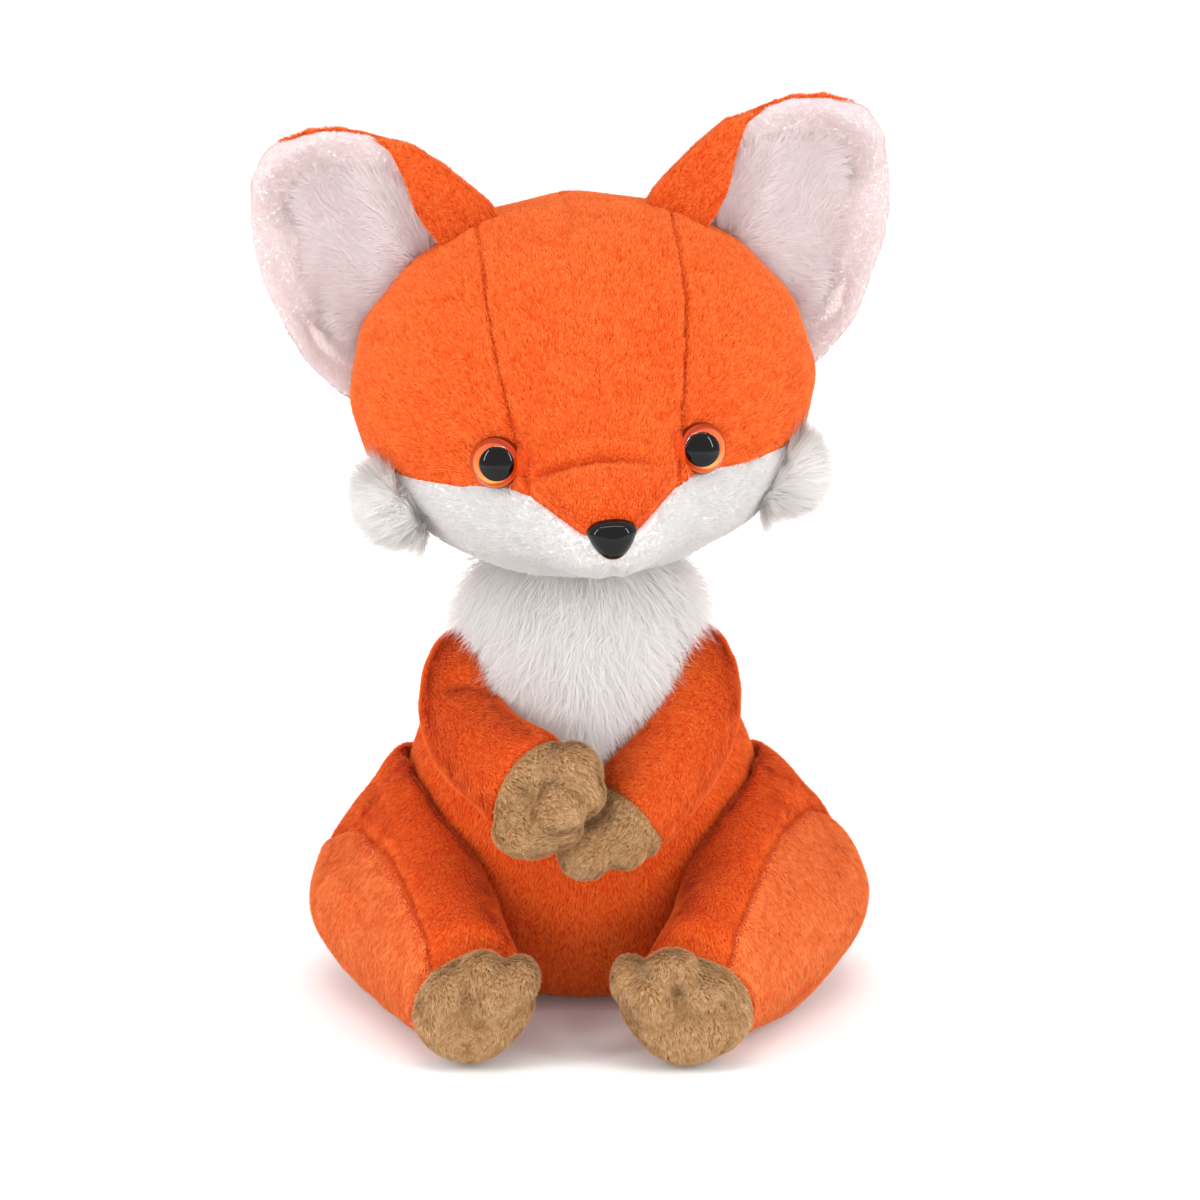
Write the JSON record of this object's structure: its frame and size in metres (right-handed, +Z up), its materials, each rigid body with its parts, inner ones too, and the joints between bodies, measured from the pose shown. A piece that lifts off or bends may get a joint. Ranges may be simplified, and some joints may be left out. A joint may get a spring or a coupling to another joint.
{
  "type": "plush fox",
  "caption": "Soft stuffed fox sitting upright with folded front paws, large ears, a white bib and face, and a turning head.",
  "frame": {"origin": "middle of the flat seat under the torso, on the floor", "axes": "+Z up, the fox faces -Y, and its own left is +X"},
  "size_m": [0.2049, 0.2788, 0.3002],
  "materials": {
    "torso_front": "short dense plush",
    "torso_back": "short dense plush",
    "bib_panel": "long white pile fur",
    "torso_stuffing": "loose polyester fibre",
    "pellet_pouch": "calico bag of plastic pellets",
    "head_gusset": "short dense plush",
    "head_side_left": "short dense plush",
    "head_side_right": "short dense plush",
    "face_panel": "white plush",
    "head_stuffing": "loose polyester fibre",
    "cheek_tuft_left": "long white pile fur",
    "cheek_tuft_right": "long white pile fur",
    "eye_dome_left": "clear dome over amber",
    "eye_dome_right": "clear dome over amber",
    "eye_pupil_left": "polished black",
    "eye_pupil_right": "polished black",
    "eye_washer_left": "natural nylon",
    "eye_washer_right": "natural nylon",
    "nose": "polished black",
    "nose_washer": "natural nylon",
    "tail_sleeve": "short dense plush",
    "tail_tip": "white plush",
    "tail_stuffing": "loose polyester fibre",
    "ear_back_left": "short dense plush",
    "ear_lining_left": "white plush",
    "ear_fur_left": "long white pile fur",
    "sleeve_left": "short dense plush",
    "paw_left": "short dense plush",
    "arm_stuffing_left": "loose polyester fibre",
    "leg_outer_left": "short dense plush",
    "leg_inner_left": "short dense plush",
    "foot_left": "short dense plush",
    "leg_stuffing_left": "loose polyester fibre",
    "ear_back_right": "short dense plush",
    "ear_lining_right": "white plush",
    "ear_fur_right": "long white pile fur",
    "sleeve_right": "short dense plush",
    "paw_right": "short dense plush",
    "arm_stuffing_right": "loose polyester fibre",
    "leg_outer_right": "short dense plush",
    "leg_inner_right": "short dense plush",
    "foot_right": "short dense plush",
    "leg_stuffing_right": "loose polyester fibre"
  },
  "bodies": {
    "body": {"torso_front": "torso_front", "torso_back": "torso_back", "bib_panel": "bib_panel", "torso_stuffing": "torso_stuffing", "pellet_pouch": "pellet_pouch"},
    "head": {"head_gusset": "head_gusset", "head_side_left": "head_side_left", "head_side_right": "head_side_right", "face_panel": "face_panel", "head_stuffing": "head_stuffing", "cheek_tuft_left": "cheek_tuft_left", "cheek_tuft_right": "cheek_tuft_right", "eye_dome_left": "eye_dome_left", "eye_dome_right": "eye_dome_right", "eye_pupil_left": "eye_pupil_left", "eye_pupil_right": "eye_pupil_right", "eye_washer_left": "eye_washer_left", "eye_washer_right": "eye_washer_right", "nose": "nose", "nose_washer": "nose_washer"},
    "tail": {"tail_sleeve": "tail_sleeve", "tail_tip": "tail_tip", "tail_stuffing": "tail_stuffing"},
    "ear_left": {"ear_back_left": "ear_back_left", "ear_lining_left": "ear_lining_left", "ear_fur_left": "ear_fur_left"},
    "arm_left": {"sleeve_left": "sleeve_left", "paw_left": "paw_left", "arm_stuffing_left": "arm_stuffing_left"},
    "leg_left": {"leg_outer_left": "leg_outer_left", "leg_inner_left": "leg_inner_left", "foot_left": "foot_left", "leg_stuffing_left": "leg_stuffing_left"},
    "ear_right": {"ear_back_right": "ear_back_right", "ear_lining_right": "ear_lining_right", "ear_fur_right": "ear_fur_right"},
    "arm_right": {"sleeve_right": "sleeve_right", "paw_right": "paw_right", "arm_stuffing_right": "arm_stuffing_right"},
    "leg_right": {"leg_outer_right": "leg_outer_right", "leg_inner_right": "leg_inner_right", "foot_right": "foot_right", "leg_stuffing_right": "leg_stuffing_right"}
  },
  "joints": [
    {"name": "neck_turn", "type": "hinge", "parent": "body", "child": "head", "pos_m": [0, -0.019, 0.153], "axis": [0, 0, 1], "range_deg": [-25, 25]},
    {"name": "tail_swing", "type": "hinge", "parent": "body", "child": "tail", "pos_m": [0, 0.053, 0.019], "axis": [0, 0, 1], "range_deg": [-25, 25]},
    {"name": "shoulder_left", "type": "hinge", "parent": "body", "child": "arm_left", "pos_m": [0.037, -0.02, 0.114], "axis": [0, 0, 1], "range_deg": [0, 50]},
    {"name": "hip_left", "type": "hinge", "parent": "body", "child": "leg_left", "pos_m": [0.0385, 0.044, 0], "axis": [0, 0, 1], "range_deg": [0, 12]},
    {"name": "ear_flop_left", "type": "hinge", "parent": "head", "child": "ear_left", "pos_m": [0.05199, -0.01587, 0.23971], "axis": [0.6799, 0.0547, -0.7313], "range_deg": [-12, 12], "stiffness_Nm_per_rad": 0.02},
    {"name": "shoulder_right", "type": "hinge", "parent": "body", "child": "arm_right", "pos_m": [-0.037, -0.02, 0.114], "axis": [0, 0, 1], "range_deg": [-50, 0]},
    {"name": "hip_right", "type": "hinge", "parent": "body", "child": "leg_right", "pos_m": [-0.0335, 0.044, 0], "axis": [0, 0, 1], "range_deg": [-12, 0]},
    {"name": "ear_flop_right", "type": "hinge", "parent": "head", "child": "ear_right", "pos_m": [-0.05447, -0.02443, 0.23317], "axis": [-0.586, -0.0471, -0.8089], "range_deg": [-12, 12], "stiffness_Nm_per_rad": 0.02}
  ]
}
